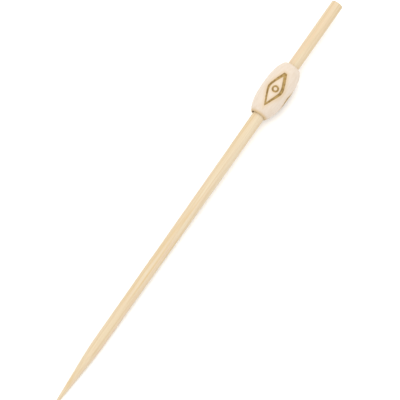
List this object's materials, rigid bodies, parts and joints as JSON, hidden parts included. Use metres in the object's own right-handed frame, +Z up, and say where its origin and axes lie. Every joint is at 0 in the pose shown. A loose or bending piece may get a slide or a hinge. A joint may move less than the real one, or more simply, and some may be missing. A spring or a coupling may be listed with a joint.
{
  "type": "bamboo cocktail pick with a bead",
  "caption": "Round bamboo pick, sharpened at one end, with an oblong pale wooden bead near its blunt end that carries a burnt lozenge and ring motif.",
  "frame": {"origin": "middle of the underside of the whole pick's box, on the surface that it lies on", "axes": "+X from the point to the blunt end along the surface, +Z up, +Y to the left of +X; the stick leans 1.7 degrees up towards +X"},
  "size_m": [0.12, 0.0072, 0.0073],
  "materials": {
    "bamboo": "raw round-drawn bamboo, pale straw colour with fine lengthwise fibres, dry and matt",
    "lacquered_wood": "turned pale wood under a thin cream lacquer, satin, with golden-brown burnt lines"
  },
  "bodies": {
    "root": {"stick": "bamboo", "bead": "lacquered_wood"}
  },
  "joints": []
}
